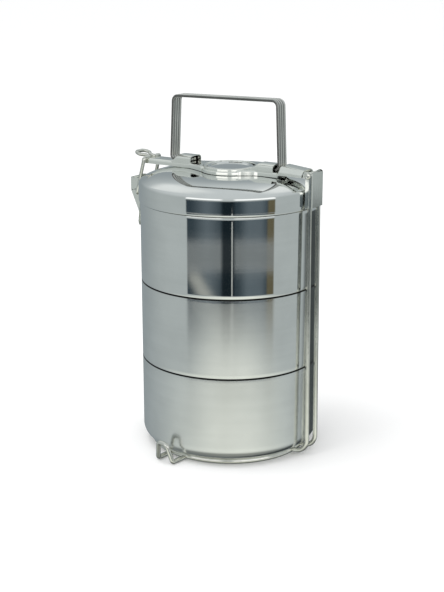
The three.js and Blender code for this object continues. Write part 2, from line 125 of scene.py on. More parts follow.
HINGE_X, HINGE_Z = 73.4, 222.8
HINGE_LUG = 2.3
PLATE_END = HINGE_X - 5
PIN_RADIUS = 1.3
PIN_HEAD_RADIUS, PIN_DOME = 2.6, 0.8
BRACKET_LOW, BRACKET_HIGH = span("hinge_bracket")
BRACKET_SHEET = 0.8

HANDLE_LOW, HANDLE_HIGH = span("carrying_handle")
HANDLE_WIDTH = HANDLE_HIGH[1] - HANDLE_LOW[1]
HANDLE_THICK = 2
RIBS = 4
HANDLE_FOOT_Z = HANDLE_LOW[2] + HANDLE_THICK / 2
HANDLE_LEFT = (-36, -52, -49.7, 273.8)   # x of the foot's end, of the leg's foot and top; top z
HANDLE_RIGHT = (30, 46.3, 44.2, 275.4)
SEAT_RISE = 1.4
SEAT_HALF = 5
SEATS = ((-49.2, -36.2), (29.5, 42.5))   # each pad's two ends
HOOD_SHEET = 0.8
HOOD_POWER = 0.3                  # the lower, the flatter the arch
HOOD_END = 0.34                   # share of the height left at the lower end

LEVER_PIVOT = (-86.5, 202.2)
LEVER_HALF = 8.65                 # half width inside the lever's sheet
LEVER_SHEET = 0.9
LEVER_WEB_IN = 0.4                # inner face of the lever's web, inside the line of its back
LEVER_OUT = 3                     # line of its back, outside its pivot
BAIL_PIVOT = (-82.5, 193.7)
BAIL_WIRE = 2.8
BAIL_HALF = 10.6
BAIL_SEAT_X = -74.6
BAIL_LOOP_X = -87
BAIL_NECK = (-78.6, 2.7)          # x and half width where the finger loop starts
BAIL_LOOP = (-81.5, 6.4)          # and where it is widest
BAIL_RISE = 3.2

# The camera, from the bowls' axis on the ground
CAMERA_PLACE = (505.5, -794.2, 385.7)
CAMERA_HEADING = math.radians(32.866)
CAMERA_PITCH = math.radians(15.894)
CAMERA_LENS = 74.74

# Welding distances of a mesh, metres
WELD, SLIVER = 2e-7, 1e-7

# The studio that the steel mirrors: bearings in degrees from the camera's side, positive to its
# right, and falls as the tangent of the angle below level
OPENING_SIDES = (-56.2, 56.5)
OPENING_FALL = (0.16, 0.308)
POST_SIDES = (-11, 5)
LINE_SIDES = (1.4, 2.6)
SHELF_FALL = (0.2395, 0.261)
SHELF_EDGES = ((0.2375, 0.2405), (0.2595, 0.2625))


# ---- Lines and surfaces ----------------------------------------------------------------------

def unit(vectors):
    """Each vector divided by its length."""
    length = np.linalg.norm(vectors, axis=-1, keepdims=True)
    return vectors / np.maximum(length, 1e-9)


def rounded(corners, radii, steps=8):
    """A polyline with its inner corners turned into arcs.

    Each arc is the rational quadratic curve from one tangent point to the other, with the cosine of
    half the turn as the corner's weight, which is a true circle. Corners may be stacked in front.
    """
    corners = np.asarray(corners, float)
    before, corner, after = corners[..., :-2, :], corners[..., 1:-1, :], corners[..., 2:, :]
    back, on = unit(before - corner), unit(after - corner)
    turn = np.pi - np.arccos(np.clip((back * on).sum(-1, keepdims=True), -1, 1))
    reach = np.asarray(radii, float).reshape(-1, 1) * np.tan(turn / 2)
    weight = np.cos(turn / 2)[..., None, :]
    start, end = (corner + back * reach)[..., None, :], (corner + on * reach)[..., None, :]
    t = np.linspace(0, 1, steps + 1)[:, None]
    middle = 2 * weight * t * (1 - t)
    arcs = ((1 - t) ** 2 * start + middle * corner[..., None, :] + t ** 2 * end)
    arcs = arcs / ((1 - t) ** 2 + middle + t ** 2)
    flat = arcs.reshape(*corners.shape[:-2], -1, corners.shape[-1])
    return np.concatenate([corners[..., :1, :], flat, corners[..., -1:, :]], axis=-2)


def divided(line, longest):
    """The same line with points added so that no stretch is longer than the given length."""
    line = np.asarray(line, float)
    stretch = np.linalg.norm(np.diff(line, axis=0), axis=1)
    counts = np.maximum(np.ceil(stretch / longest), 1).astype(int)
    start = np.repeat(np.arange(len(counts)), counts)
    first = np.repeat(np.cumsum(counts) - counts, counts)
    share = (np.arange(counts.sum()) - first) / counts[start]
    points = line[start] + share[:, None] * (line[start + 1] - line[start])
    return np.vstack([points, line[-1:]])


def sheet_of(line, sheet):
    """A closed outline: an open 2-D line, and the same line moved to its right by the sheet."""
    along = unit(np.gradient(line, axis=-2))
    across = np.stack([along[..., 1], -along[..., 0]], axis=-1)
    return np.concatenate([line, (line + across * sheet)[..., ::-1, :]], axis=-2)


def whole_turn(steps):
    """Even angles round a full turn, the first one zero."""
    return np.arange(steps) * 2 * np.pi / steps


def eased(share):
    """A smooth step from 0 to 1 while the share goes from 0 to 1."""
    share = np.clip(share, 0, 1)
    return share * share * (3 - 2 * share)


def corners_of(*pairs):
    """One polyline per station: each corner is two arrays with a value for each station."""
    return np.stack([np.stack(pair, axis=1) for pair in pairs], axis=1)


def circle(radius, steps=20):
    """Points of a circle, first coordinate radius times cosine and second radius times sine."""
    angle = whole_turn(steps)
    return np.stack([radius * np.cos(angle), radius * np.sin(angle)], axis=1)


def turned(profile, closed=True):
    """A profile of radius and height turned about Z: x = r cos a, y = r sin a, z = z."""
    angle = whole_turn(ROUND)
    r, z = np.asarray(profile, float).T
    points = np.stack([np.outer(r, np.cos(angle)), np.outer(r, np.sin(angle)),
                       np.repeat(z[:, None], ROUND, axis=1)], axis=-1)
    return points, closed, True, False


def carried(path, section, side):
    """A closed section carried along a path.

    A point is the path's point plus the section's first coordinate along the side vector made
    square to the path, plus its second along the path's direction crossed with that.
    """
    along = unit(np.gradient(path, axis=0))
    side = np.broadcast_to(np.asarray(side, float), path.shape)
    first = unit(side - (side * along).sum(1, keepdims=True) * along)
    second = np.cross(along, first)
    section = np.broadcast_to(section, (len(path),) + np.shape(section)[-2:])
    points = path[:, None] + section[..., :1] * first[:, None] + section[..., 1:] * second[:, None]
    return points, False, True, True


def wire(corners, radii, diameter, side):
    """A round wire along a rounded path, its ends closed by quarter circles of its radius."""
    path = divided(rounded(corners, radii, 10), 6)
    radius = diameter / 2
    quarter = np.radians([90, 70, 50, 30, 12])
    first = path[:1] - radius * np.sin(quarter)[:, None] * unit(path[1] - path[0])
    last = path[-1:] + radius * np.sin(quarter[::-1])[:, None] * unit(path[-1] - path[-2])
    size = np.concatenate([np.cos(quarter), np.ones(len(path)), np.cos(quarter[::-1])])
    path = np.vstack([first, path, last])
    return carried(path, circle(radius)[None] * size[:, None, None], side)


def lofted(sections, stations):
    """Closed outlines in y and z, each at its own x."""
    places = np.broadcast_to(np.asarray(stations, float)[:, None], sections.shape[:2])
    return np.stack([places, sections[..., 0], sections[..., 1]], axis=-1), False, True, True


def spun(points, angle):
    """A surface turned about the bowls' axis."""
    grid, *rest = points
    c, s = math.cos(angle), math.sin(angle)
    matrix = np.array([[c, s, 0], [-s, c, 0], [0, 0, 1]])
    return (grid @ matrix, *rest)


def faces_of(shape, wrap_u, wrap_v, start):
    """Four-sided faces between neighbouring points of a grid, numbered from a start."""
    rows, columns = shape
    number = np.arange(rows * columns).reshape(rows, columns) + start
    down = np.roll(number, -1, 0) if wrap_u else number[1:]
    number = number if wrap_u else number[:-1]
    right, down_right = np.roll(number, -1, 1), np.roll(down, -1, 1)
    quads = np.stack([number, right, down_right, down], axis=-1)
    return (quads if wrap_v else quads[:, :-1]).reshape(-1, 4).tolist()


def piece(name, surfaces, body, slot, finish, *nodes, crease=35):
    """One object from several closed surfaces, each a grid and how it closes, riding on a body."""
    points, faces = [], []
    count = 0
    for grid, wrap_u, wrap_v, capped in surfaces:
        rows, columns = grid.shape[:2]
        faces += faces_of((rows, columns), wrap_u, wrap_v, count)
        if capped:
            last = count + (rows - 1) * columns
            faces.append(list(range(count, count + columns)))
            faces.append(list(range(last + columns - 1, last - 1, -1)))
        points.append(grid.reshape(-1, 3))
        count += rows * columns
    place = (np.vstack(points) + [AXIS_X / MM, 0, 0]) * MM
    mesh = bpy.data.meshes.new(name)
    mesh.from_pydata(place.tolist(), [], faces)
    shell = bmesh.new()
    shell.from_mesh(mesh)
    bmesh.ops.remove_doubles(shell, verts=shell.verts, dist=WELD)
    bmesh.ops.dissolve_degenerate(shell, edges=shell.edges, dist=SLIVER)
    bmesh.ops.recalc_face_normals(shell, faces=shell.faces)
    shell.to_mesh(mesh)
    shell.free()
    mesh.polygons.foreach_set("use_smooth", [True] * len(mesh.polygons))
    mesh.set_sharp_from_angle(angle=math.radians(crease))
    mesh.materials.append(finish)
    made = bpy.data.objects.new(name, mesh)
    bpy.context.scene.collection.objects.link(made)
    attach(made, body)
    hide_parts(*nodes)
    return made


# ---- Shader maths ----------------------------------------------------------------------------

class Socket:
    """An output socket in a node tree. Arithmetic on it adds Math nodes."""

    def __init__(self, tree, link=None):
        self.tree = tree
        self.link = link

    def node(self, kind, settings=(), sockets=(), output=0):
        """Adds any node: its settings first, then the values or links of its input sockets."""
        made = self.tree.nodes.new(kind)
        for key, value in dict(settings).items():
            setattr(made, key, value)
        for key, value in dict(sockets).items():
            if isinstance(value, Socket):
                self.tree.links.new(value.link, made.inputs[key])
            else:
                made.inputs[key].default_value = value
        return Socket(self.tree, made.outputs[output] if made.outputs else None)

    def maths(self, operation, *values):
        return self.node("ShaderNodeMath", {"operation": operation}, dict(enumerate(values)))

    def __add__(self, other):
        return self.maths("ADD", self, other)

    __radd__ = __add__

    def __sub__(self, other):
        return self.maths("SUBTRACT", self, other)

    def __rsub__(self, other):
        return self.maths("SUBTRACT", other, self)

    def __mul__(self, other):
        return self.maths("MULTIPLY", self, other)

    __rmul__ = __mul__

    def __truediv__(self, other):
        return self.maths("DIVIDE", self, other)

    def __pow__(self, power):
        return self.maths("POWER", self, power)

    def rises(self, low, high):
        """0 below the low value, 1 above the high one, and a smooth step between."""
        return self.node("ShaderNodeMapRange", {"interpolation_type": "SMOOTHSTEP"},
                         {"Value": self, "From Min": low, "From Max": high})

    def between(self, low, high, soft):
        """1 inside a band and 0 outside it, with soft edges."""
        return self.rises(low - soft, low + soft) * (1 - self.rises(high - soft, high + soft))

    def mixed(self, first, second):
        """One colour where this is 0 and the other where it is 1."""
        return self.node("ShaderNodeMix", {"data_type": "RGBA"}, {0: self, 6: first, 7: second}, 2)

    def parts(self):
        """The X, Y and Z of a vector."""
        made = self.tree.nodes.new("ShaderNodeSeparateXYZ")
        self.tree.links.new(self.link, made.inputs[0])
        return [Socket(self.tree, output) for output in made.outputs]

    def vector(self, *values):
        return self.node("ShaderNodeCombineXYZ", {}, dict(enumerate(values)))

    def noise(self, vector, detail=2.0):
        """Smooth noise from about 0.3 to 0.7, one cell to a unit of the vector."""
        return self.node("ShaderNodeTexNoise", {},
                         {"Vector": vector, "Scale": 1.0, "Detail": detail})


def rgb(red, green, blue):
    """An opaque colour."""
    return (red, green, blue, 1.0)


# ---- Finishes --------------------------------------------------------------------------------

def steel(name, light, dark, roughness, spread, grain, turned_piece=False, ribs=0.0):
    """Stainless steel with a fine grain in its bump, and soft patches in its colour and roughness.

    On a turned piece the grain runs round the axis: a noise that changes fast with radius plus
    height and slowly across. Painted shade lies as a dark line in the gap where one bowl's rim
    meets the next.
    On any other piece it runs along X and Z in fine short scratches, and a ribbed strap has painted
    shade in its grooves, by the cube of a raised cosine of Y.
    """
    material = bpy.data.materials.new(name)
    material.use_nodes = True
    tree = material.node_tree
    tree.nodes.clear()
    start = Socket(tree)
    place = start.node("ShaderNodeTexCoord", output=3)
    centred = start.node("ShaderNodeMapping", {}, {"Vector": place, "Location": (-AXIS_X, 0, 0)})
    x, y, z = centred.parts()
    if turned_piece:
        depth = (x * x + y * y) ** 0.5 + z
        fine = start.noise(start.vector(x * 14, y * 14, depth * 2600), 3.0)
        broad = start.noise(start.vector(x * 6, y * 6, depth * 240), 2.0)
        # painted shade: a dark band in the gap where one bowl's rim meets the next
        painted_shade = sum(z.between((height - JOINT_SHADE_BELOW) * MM, (height + JOINT_SHADE_ABOVE) * MM, JOINT_SHADE_SOFT * MM)
                   for height in JOINTS_Z)
    else:
        fine = start.noise(start.vector(x * 300, y * 2600, z * 300), 3.0)
        broad = start.noise(start.vector(x * 90, y * 400, z * 90), 2.0)
        # painted shade in the strap's grooves, by the cube of a raised cosine of Y
        grooves = start.maths("COSINE", y * (RIBS * 2 * math.pi / (HANDLE_WIDTH * MM)))
        painted_shade = ribs * (grooves * 0.5 + 0.5) ** 3
    patches = start.noise(start.vector(x * 26, y * 26, z * 26), 4.0)
    smears = start.noise(start.vector(x * 110 + patches * 3, y * 110, z * 110), 5.0)
    colour = (patches * 0.8 + broad * 0.2).rises(0.3, 0.7).mixed(dark, light)
    # painted shade, near black, in the bowls' joints and the strap's grooves
    colour = painted_shade.mixed(colour, rgb(0.03, 0.03, 0.03))
    rough = roughness + spread * (patches * 0.5 + smears * 0.3 + fine * 0.2 - 0.5)
    bumps = start.node("ShaderNodeBump", {}, {"Strength": grain, "Distance": 0.00006,
                                              "Height": fine * 0.85 + broad * 0.15})
    surface = start.node("ShaderNodeBsdfPrincipled", {}, {
        "Base Color": colour, "Metallic": 1.0, "Roughness": rough, "Normal": bumps})
    start.node("ShaderNodeOutputMaterial", {}, {"Surface": surface})
    return material


def bowl_steel(name, roughness, spread, grain):
    """Spun steel, from bright to soft."""
    light, dark = rgb(0.82, 0.835, 0.825), rgb(0.74, 0.755, 0.745)
    return steel(name, light, dark, roughness, spread, grain, turned_piece=True)


def wire_steel():
    """Drawn wire."""
    light, dark = rgb(0.82, 0.82, 0.77), rgb(0.64, 0.64, 0.59)
    return steel("drawn_wire", light, dark, roughness=0.13, spread=0.12, grain=0.3)


def clamp_steel():
    """The pressed sheet of the arm, the hoods, the bracket and the lever."""
    light, dark = rgb(0.93, 0.94, 0.89), rgb(0.82, 0.83, 0.78)
    return steel("pressed_sheet", light, dark, roughness=0.12, spread=0.10, grain=0.3)


def strap_steel():
    """The handle's strap, with painted shade in its grooves."""
    light, dark = rgb(0.78, 0.77, 0.74), rgb(0.58, 0.58, 0.55)
    # ribs sets how strong the painted shade in the grooves is
    return steel("ribbed_strap", light, dark, roughness=0.22, spread=0.14, grain=0.4, ribs=0.8)


# ---- Bowls and lid ---------------------------------------------------------------------------

def bottom_bowl(finish):
    """A flat base, a large rounded corner, a straight wall and a rounded rim, 0.8 mm thick."""
    top, inner = BOWL_HIGH[2], BOWL_RADIUS - SHEET
    profile = rounded([
        (0, BASE_Z), (BOWL_RADIUS, BASE_Z), (BOWL_RADIUS, top), (inner, top),
        (inner, BASE_Z + SHEET), (0, BASE_Z + SHEET),
    ], [BASE_CORNER, RIM_ROUND, RIM_ROUND, BASE_CORNER - SHEET], 10)
    surface = turned(divided(profile, 2.5), closed=False)
    piece("bottom_bowl_shell", [surface], "lower_tier", "bowl_steel", finish, "bottom_bowl")


def upper_bowl(name, node, body, finish):
    """A stepped base that drops inside the rim below, a ledge, a straight wall, a rounded rim."""
    low, high = span(node)
    base, top = low[2], high[2]
    ledge = base + NEST_DEPTH
    inner, nest = BOWL_RADIUS - SHEET, NEST_RADIUS - SHEET
    profile = rounded([
        (0, base), (NEST_RADIUS, base), (NEST_RADIUS, ledge), (BOWL_RADIUS, ledge),
        (BOWL_RADIUS, top), (inner, top), (inner, ledge + SHEET), (nest, ledge + SHEET),
        (nest, base + SHEET), (0, base + SHEET),
    ], [NEST_CORNER, 0.2, 0.9, RIM_ROUND, RIM_ROUND, 0.3, 0.6, NEST_CORNER - SHEET], 6)
    piece(name, [turned(divided(profile, 2.5), closed=False)], body, "bowl_steel", finish, node)


def lid_outside():
    """The lid's outer line from the skirt's edge to the middle.

    The dome's height falls from the crown by the fifth power of the share of the way out from the
    boss to the shoulder.
    """
    corner = LID_RADIUS - SHOULDER_CORNER
    angle = np.linspace(0, SHOULDER_TURN, 10)
    shoulder = np.stack([corner + SHOULDER_CORNER * np.cos(angle),
                         SHOULDER_Z + SHOULDER_CORNER * np.sin(angle)], axis=1)
    turn_radius, turn_z = shoulder[-1]
    radius = np.linspace(turn_radius, BOSS_RADIUS + 1.2, 40)[1:]
    share = (radius - BOSS_RADIUS) / (turn_radius - BOSS_RADIUS)
    dome = np.stack([radius, CROWN_Z - (CROWN_Z - turn_z) * share ** DOME_POWER], axis=1)
    boss = rounded([
        (BOSS_RADIUS + 1.2, CROWN_Z), (BOSS_RADIUS, CROWN_Z), (BOSS_RADIUS, BOSS_TOP_Z),
        (BOSS_RADIUS - 1.9, BOSS_TOP_Z), (BOSS_RADIUS - 2.8, BOSS_TOP_Z - 1), (0, BOSS_TOP_Z - 1.1),
    ], [0.8, 0.8, 0.6, 0.8], 6)
    return np.vstack([shoulder, dome, boss[1:]])


def lid(finish):
    """A plug that drops inside the top bowl, a straight skirt, a rounded shoulder, a flat dome and
    a raised button in its middle, all one sheet."""
    outside = lid_outside()
    along = unit(np.gradient(outside, axis=0))
    inside = (outside + np.stack([-along[:, 1], along[:, 0]], axis=1) * SHEET)[::-1]
    inside[0, 0] = 0
    nest = NEST_RADIUS - SHEET
    edge = rounded([
        (nest, LID_LOW[2]), (NEST_RADIUS, LID_LOW[2]), (NEST_RADIUS, LEDGE_Z),
        (LID_RADIUS, LEDGE_Z), (LID_RADIUS, SHOULDER_Z),
    ], [0.3, 0.2, 1.0], 6)
    under = rounded([
        (LID_RADIUS - SHEET, SHOULDER_Z), (LID_RADIUS - SHEET, LEDGE_Z + SHEET),
        (nest, LEDGE_Z + SHEET), (nest, LID_LOW[2]),
    ], [0.5, 0.5], 6)
    profile = divided(np.vstack([edge, outside[1:], inside, under[1:]]), 2.5)
    piece("lid_shell", [turned(profile[:-1])], "cover", "bowl_steel", finish, "lid")


# ---- Wire cradle -----------------------------------------------------------------------------

def base_ring(finish):
    """A ring of round wire."""
    section = circle(RING_WIRE / 2, 24) + [RING_RADIUS, RING_WIRE / 2]
    piece("base_ring_wire", [turned(section)], "cradle", "wire_steel", finish, "base_ring")


def guard_foot(name, node, turn, finish):
    """A wire hoop that stands out from the ring and turns up into a narrower top."""
    half = [(-FOOT_HALF, -FOOT_START, FOOT_Z), (-FOOT_HALF, -FOOT_CORNER, FOOT_Z),
            (-FOOT_TOP_HALF, -FOOT_REACH, FOOT_TOP_Z)]
    corners = half + [(-x, y, z) for x, y, z in half[::-1]]
    surface = wire(corners, [2.2, 3.2, 3.2, 2.2], FRAME_WIRE, (0.35, -0.75, 0.55))
    piece(name, [spun(surface, -turn)], "cradle", "wire_steel", finish, node)


def hinge_wire(name, node, y, finish):
    """An upright that leaves the ring, turns up and leans in slightly towards the hinge bracket."""
    top_x, top_z = HINGE_WIRE_TOP
    corners = [(BRANCH_START, y, BRANCH_Z), (UPRIGHT_FOOT, y, BRANCH_Z), (top_x, y, top_z)]
    surface = wire(corners, [UPRIGHT_BEND], FRAME_WIRE, (0, 1, 0))
    piece(name, [surface], "cradle", "wire_steel", finish, node)


def latch_wire(finish):
    """One wire up both sides of the latch, its top turned out as the lever's axle."""
    x, z = LEVER_PIVOT
    y = LATCH_WIRE_Y
    half = [(-BRANCH_START, -y, BRANCH_Z), (-UPRIGHT_FOOT, -y, BRANCH_Z),
            (LATCH_WIRE_TOP, -y, z), (x, -y, z)]
    corners = half + [(a, -b, c) for a, b, c in half[::-1]]
    radii = [UPRIGHT_BEND, 5, 2.4, 2.4, 5, UPRIGHT_BEND]
    surface = wire(corners, radii, FRAME_WIRE, (0.62, 0.5, -0.6))
    piece("latch_wire_hoop", [surface], "cradle", "wire_steel", finish, "latch_wire")


# ---- Hinge -----------------------------------------------------------------------------------

def hinge_bracket(finish):
    """A sheet channel round the tops of the two wires.

    Its outline in plan is the same all the way up. Its top edge falls from the web towards the open
    edges of the cheeks, and along a quarter circle at the web's two corners.
    """
    inner_x, outer_x = BRACKET_LOW[0], BRACKET_HIGH[0]
    half = BRACKET_HIGH[1]
    line = rounded([(inner_x, half), (outer_x, half), (outer_x, -half), (inner_x, -half)], 2, 8)
    line = divided(line, 0.6)
    outline = sheet_of(line, BRACKET_SHEET)
    both = np.concatenate([line, line[::-1]])
    corner = 4.5
    side = np.maximum(np.abs(both[:, 1]) - (half - corner), 0) / corner
    web = corner * (1 - np.sqrt(np.maximum(1 - np.minimum(side, 0.96) ** 2, 0)))
    lean = np.clip((HINGE_X + 1.5 - both[:, 0]) * 0.9, 0, 2.2)
    on_cheek = np.clip((outer_x - 1.2 - both[:, 0]) / 1.5, 0, 1)
    top = BRACKET_HIGH[2] - web * (1 - 0.75 * on_cheek) * 0.9 - lean
    share = np.concatenate([[0, 0.004, 0.02], np.linspace(0.06, 0.94, 14), [0.98, 0.996, 1]])
    height = BRACKET_LOW[2] + share[:, None] * (top - BRACKET_LOW[2])
    grid = np.stack([np.broadcast_to(outline[:, 0], height.shape),
                     np.broadcast_to(outline[:, 1], height.shape), height], axis=-1)
    surface = (grid, False, True, True)
    piece("hinge_bracket_sheet", [surface], "cradle", "clamp_steel", finish, "hinge_bracket")


def hinge_pin(finish):
    """A rivet through the bracket's cheeks and the arm's lugs, with a low dome at each end."""
    reach = span("hinge_pin")[1][1]
    head = reach - PIN_DOME
    dome = np.radians(np.linspace(0, 90, 7))
    radius = np.concatenate([[PIN_RADIUS, PIN_RADIUS], PIN_HEAD_RADIUS * np.cos(dome) ** 0.7])
    out = np.concatenate([[0, head], head + PIN_DOME * np.sin(dome)])
    radius = np.concatenate([radius[::-1], radius[1:]])
    along = np.concatenate([-out[::-1], out[1:]])
    angle = whole_turn(24)
    y = np.repeat(along[:, None], len(angle), 1)
    grid = np.stack([HINGE_X + np.outer(radius, np.cos(angle)), y,
                     HINGE_Z + np.outer(radius, np.sin(angle))], axis=-1)
    piece("hinge_rivet", [(grid, False, True, False)], "cradle", "wire_steel", finish, "hinge_pin")


# ---- Top arm ---------------------------------------------------------------------------------

def arm_strip(inner_x, outer_x):
    """Half of the arm: a shallow channel from the collar to the tip or the raised part.

    Its half width grows towards the flange along a quadratic curve between two widths. Its edges
    start on a circle just inside the collar's outside, and its inner end is cut straight across
    between them. The sheet lies outside the line.
    """
    share = np.linspace(0, 1, 64)
    t = np.linspace(0, 1, 30)
    start_x, middle_x, end_x = FLANGE_LATCH if outer_x < 0 else FLANGE_HINGE
    curve_x = (1 - t) ** 2 * start_x + 2 * t * (1 - t) * middle_x + t ** 2 * end_x
    curve_half = (1 - t * t) * ARM_HALF + t * t * FLANGE_HALF
    edge_x = np.abs(inner_x + share * (outer_x - inner_x))
    half = np.interp(edge_x, curve_x[::-1], curve_half[::-1])
    zero = np.zeros_like(half)
    low, top = zero + ARM_LOW_Z, zero + ARM_TOP_Z
    corners = corners_of((half, low), (half, top), (-half, top), (-half, low))
    outline = sheet_of(rounded(corners, 0.9, 6)[:, ::-1], -ARM_SHEET)
    y = np.minimum(np.abs(outline[..., 0]), FLANGE_HALF + 0.4)
    collar = np.sqrt((COLLAR_OUTER - 0.6) ** 2 - y ** 2)
    sign = np.sign(outer_x)
    x = sign * collar * (1 - share)[:, None] + outer_x * share[:, None]
    return np.stack([x, outline[..., 0], outline[..., 1]], axis=-1), False, True, True


def arm_channel():
    """The raised hinge end: a flat-topped channel with sloping sides, which rises out of the strip
    over a short ramp."""
    x = np.array([44.6, 45.2, 46, 46.8, 47.6, 48.4, 49.2, 50, 52, 56, 60, 64, 67, PLATE_END])
    rise = eased((x - RAMP_START) / RAMP_LENGTH)
    half = ARM_HALF + 0.05 + (CHANNEL_HALF - ARM_HALF - 0.05) * rise
    top_half = ARM_HALF - 0.3 + (CHANNEL_TOP_HALF - ARM_HALF + 0.3) * rise
    low = ARM_LOW_Z + (CHANNEL_LOW_Z - ARM_LOW_Z) * rise
    bend = ARM_LOW_Z + 1.2 + (CHANNEL_BEND_Z - ARM_LOW_Z - 1.2) * rise
    top = ARM_TOP_Z + 0.05 + (CHANNEL_TOP_Z - ARM_TOP_Z - 0.05) * rise
    fall = CHANNEL_FALL * np.maximum(x - CHANNEL_START, 0)
    bend = bend - 0.36 * fall
    top = top - fall
    corners = corners_of((half, low), (half, bend), (top_half, top),
                         (-top_half, top), (-half, bend), (-half, low))
    outline = sheet_of(rounded(corners, [0.5, 0.9, 0.9, 0.5], 5)[:, ::-1], -ARM_SHEET)
    return lofted(outline, x)


def arm_lug(side):
    """A flat tongue from the channel's flange to the hinge, round at its end."""
    angle = np.radians(np.linspace(-90, 135, 20))
    end = np.stack([HINGE_X + HINGE_LUG * np.cos(angle), HINGE_Z + HINGE_LUG * np.sin(angle)], 1)
    outline = np.vstack([
        [(PLATE_END - 4, CHANNEL_LOW_Z)], end,
        [(PLATE_END, HINGE_Z + 0.7), (PLATE_END - 4, HINGE_Z - 0.4)]])
    low = CHANNEL_HALF - ARM_SHEET if side > 0 else -CHANNEL_HALF
    y = np.array([low, low + ARM_SHEET])
    grid = np.stack([np.broadcast_to(outline[:, 0], (2, len(outline))),
                     np.repeat(y[:, None], len(outline), 1),
                     np.broadcast_to(outline[:, 1], (2, len(outline)))], axis=-1)
    return grid, False, True, True


def arm_flange():
    """The plate round the collar, its outer edge turned down."""
    inner = COLLAR_INNER + 1
    profile = rounded([
        (inner, ARM_TOP_Z - ARM_SHEET), (inner, ARM_TOP_Z), (FLANGE_RADIUS, ARM_TOP_Z),
        (FLANGE_RADIUS, ARM_LOW_Z), (FLANGE_RADIUS - ARM_SHEET, ARM_LOW_Z),
        (FLANGE_RADIUS - ARM_SHEET, ARM_TOP_Z - ARM_SHEET), (inner, ARM_TOP_Z - ARM_SHEET),
    ], [0.1, 0.9, 0.3, 0.3, 0.3], 6)
    return turned(profile[:-1])


def arm_collar():
    """A ring round the lid's button, its top rolled over."""
    profile = rounded([
        (COLLAR_INNER, 220), (COLLAR_INNER, ARM_LOW_Z), (COLLAR_OUTER, ARM_LOW_Z),
        (COLLAR_OUTER, COLLAR_TOP_Z), (COLLAR_INNER, COLLAR_TOP_Z), (COLLAR_INNER, 220),
    ], [0.3, 0.5, 0.9, 0.7], 6)
    return turned(profile[:-1])


def arm_seat(low_x, high_x):
    """A pad pressed up out of the arm under one foot of the handle."""
    share = np.array([0, 0.03, 0.08, 0.92, 0.97, 1.0])
    shrink = np.array([0.9, 0.3, 0, 0, 0.3, 0.9])
    foot = np.full(len(share), SEAT_HALF + 0.4)
    foot_z = np.full(len(share), ARM_TOP_Z - 0.8)
    top, top_z = SEAT_HALF - shrink, ARM_TOP_Z + SEAT_RISE * (1 - shrink)
    corners = corners_of((foot, foot_z), (top, top_z), (-top, top_z), (-foot, foot_z))
    return lofted(rounded(corners, 0.3, 4), low_x + share * (high_x - low_x))


def top_arm(finish):
    """The arm from its tip to its lugs, with the collar and the handle's two pads."""
    surfaces = [arm_strip(-FLANGE_HALF, ARM_TIP), arm_strip(FLANGE_HALF, STRIP_END), arm_channel(),
                arm_lug(-1), arm_lug(1), arm_flange(), arm_collar()]
    surfaces += [arm_seat(*ends) for ends in SEATS]
    piece("top_arm_pressing", surfaces, "arm", "clamp_steel", finish, "top_arm")


# ---- Handle ----------------------------------------------------------------------------------

def carrying_handle(finish):
    """A ribbed strap bent into a hoop.

    Half its thickness is 1 mm less a groove that follows a raised cosine of the place across the
    strap, four ribs wide, and falls to nothing at its rounded edges.
    """
    left_end, left_foot, left_top, left_z = HANDLE_LEFT
    right_end, right_foot, right_top, right_z = HANDLE_RIGHT
    foot_z = HANDLE_FOOT_Z
    corners = [(left_end, 0, foot_z), (left_foot, 0, foot_z), (left_top, 0, left_z),
               (right_top, 0, right_z), (right_foot, 0, foot_z), (right_end, 0, foot_z)]
    path = divided(rounded(corners, [3, 4.5, 4.5, 3], 12), 2)
    half = HANDLE_WIDTH / 2
    share = np.cos(np.linspace(0, np.pi, 49))
    across = share * half
    edge = np.sqrt(np.maximum(1 - np.clip((np.abs(across) - (half - 0.8)) / 0.8, 0, 1) ** 2, 0))
    groove = 0.5 - 0.5 * np.cos((across / half + 1) * np.pi * RIBS)
    thick = edge * (HANDLE_THICK / 2 - 0.5 * (1 - groove) * (np.abs(across) < half - 1.0))
    upper = np.stack([across, thick], axis=1)
    section = np.concatenate([upper, (upper * [1, -1])[-2:0:-1]])
    surface = carried(path, section, (0, 1, 0))
    piece("carrying_handle_strap", [surface], "arm", "strap_steel", finish, "carrying_handle",
          crease=50)


def handle_hood(name, node, finish):
    """An arched sheet over one foot of the handle.

    Its outline across the arm is a flattened arch, the height being the rise times a power of the
    sine, and it slopes down towards the arm at the end nearer the latch.
    """
    low, high = span(node)
    half = high[1]
    rise = high[2] - low[2]
    share = np.concatenate([[0, 0.03, 0.08, 0.15], np.linspace(0.24, 1, 10)])
    height = rise * (HOOD_END + (1 - HOOD_END) * eased(share / 0.3))
    place = low[0] + share * (high[0] - low[0])
    angle = np.linspace(0, np.pi, 33)
    y = half * np.cos(angle)
    z = low[2] + height[:, None] * np.abs(np.sin(angle)) ** HOOD_POWER
    line = np.stack([np.broadcast_to(y, z.shape), z], axis=-1)
    outline = sheet_of(line, -HOOD_SHEET)
    outline[..., 1] = np.maximum(outline[..., 1], low[2])
    piece(name, [lofted(outline, place)], "arm", "clamp_steel", finish, node)


# ---- Latch -----------------------------------------------------------------------------------

